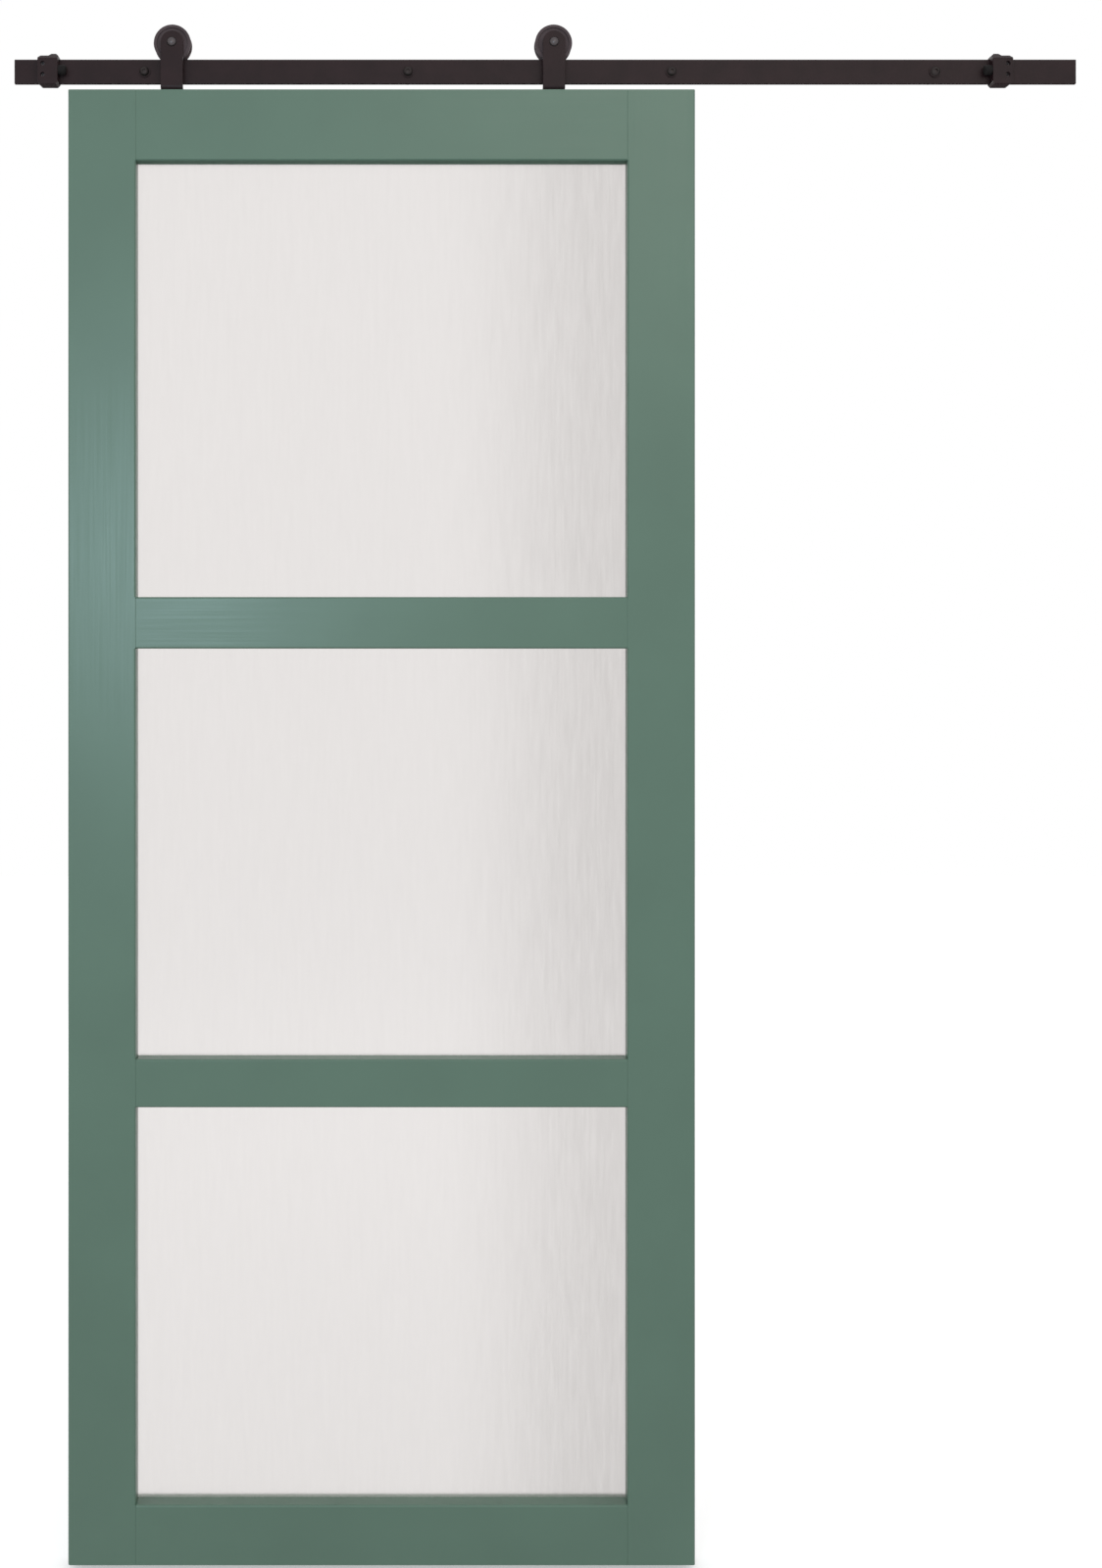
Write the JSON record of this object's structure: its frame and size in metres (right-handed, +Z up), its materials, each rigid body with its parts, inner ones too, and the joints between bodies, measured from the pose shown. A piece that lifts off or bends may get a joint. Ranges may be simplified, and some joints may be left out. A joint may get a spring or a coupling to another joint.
{
  "type": "glazed sliding door",
  "caption": "Painted timber door leaf with obscure glass panes, hung by grooved wheels on strap hangers from a flat-bar track, so that it slides along a wall.",
  "frame": {"origin": "on the wall plane, at the middle of the row of wall screws, at the height of the track", "axes": "+X right along the track seen from the room, +Y into the wall, +Z up"},
  "size_m": [1.535, 0.077, 2.216],
  "materials": {
    "painted_timber": "satin",
    "obscure_glass": "satin",
    "black_steel": "satin",
    "bright_steel": "satin",
    "bumper_rubber": "matte",
    "block_rubber": "matte"
  },
  "bodies": {
    "track": {"rail_track": "black_steel", "wall_spacer_1": "black_steel", "wall_spacer_2": "black_steel", "wall_spacer_3": "black_steel", "wall_spacer_4": "black_steel", "wall_washers": "black_steel", "wall_screws": "black_steel", "stop_left_body": "black_steel", "stop_left_bumper": "bumper_rubber", "stop_right_body": "black_steel", "stop_right_bumper": "bumper_rubber", "stop_screws": "black_steel"},
    "door": {"stile_left": "painted_timber", "stile_right": "painted_timber", "top_rail": "painted_timber", "mid_rail_upper": "painted_timber", "mid_rail_lower": "painted_timber", "bottom_rail": "painted_timber", "glass_upper": "obscure_glass", "glass_middle": "obscure_glass", "glass_lower": "obscure_glass", "setting_blocks": "block_rubber", "bead_upper_top": "painted_timber", "bead_upper_right": "painted_timber", "bead_upper_bottom": "painted_timber", "bead_upper_left": "painted_timber", "bead_middle_top": "painted_timber", "bead_middle_right": "painted_timber", "bead_middle_bottom": "painted_timber", "bead_middle_left": "painted_timber", "bead_lower_top": "painted_timber", "bead_lower_right": "painted_timber", "bead_lower_bottom": "painted_timber", "bead_lower_left": "painted_timber", "bead_pins": "bright_steel", "hanger_left_bracket": "black_steel", "hanger_left_axle": "black_steel", "hanger_left_front_sleeve": "bright_steel", "hanger_left_back_sleeve": "bright_steel", "hanger_right_bracket": "black_steel", "hanger_right_axle": "black_steel", "hanger_right_front_sleeve": "bright_steel", "hanger_right_back_sleeve": "bright_steel", "axle_washers": "black_steel", "axle_nuts": "black_steel", "foot_screws": "black_steel", "bearing_left_inner_ring": "bright_steel", "bearing_right_inner_ring": "bright_steel"},
    "wheel_left": {"bearing_left_outer_ring": "bright_steel", "wheel_left": "black_steel", "circlip_left": "bright_steel"},
    "ball_cage_left": {"bearing_left_balls": "bright_steel", "bearing_left_cage": "bright_steel"},
    "wheel_right": {"bearing_right_outer_ring": "bright_steel", "wheel_right": "black_steel", "circlip_right": "bright_steel"},
    "ball_cage_right": {"bearing_right_balls": "bright_steel", "bearing_right_cage": "bright_steel"}
  },
  "joints": [
    {"name": "door_slide", "type": "slide", "parent": "track", "child": "door", "axis": [1, 0, 0], "range_m": [-0.1367, 0.6037]},
    {"name": "wheel_left_spin", "type": "hinge", "parent": "door", "child": "wheel_left", "pos_m": [-0.5305, -0.033, 0.0393], "axis": [0, 1, 0], "range_deg": [-367, 1612]},
    {"name": "ball_cage_left_orbit", "type": "hinge", "parent": "door", "child": "ball_cage_left", "pos_m": [-0.5305, -0.033, 0.0393], "axis": [0, 1, 0], "range_deg": [-233, 1020]},
    {"name": "wheel_right_spin", "type": "hinge", "parent": "door", "child": "wheel_right", "pos_m": [0.0195, -0.033, 0.0393], "axis": [0, 1, 0], "range_deg": [-367, 1612]},
    {"name": "ball_cage_right_orbit", "type": "hinge", "parent": "door", "child": "ball_cage_right", "pos_m": [0.0195, -0.033, 0.0393], "axis": [0, 1, 0], "range_deg": [-233, 1020]}
  ],
  "couplings": [
    {"joint": "wheel_left_spin", "follows": "door_slide", "rad_per_m": 46.512},
    {"joint": "ball_cage_left_orbit", "follows": "door_slide", "rad_per_m": 29.411},
    {"joint": "wheel_right_spin", "follows": "door_slide", "rad_per_m": 46.512},
    {"joint": "ball_cage_right_orbit", "follows": "door_slide", "rad_per_m": 29.411}
  ]
}
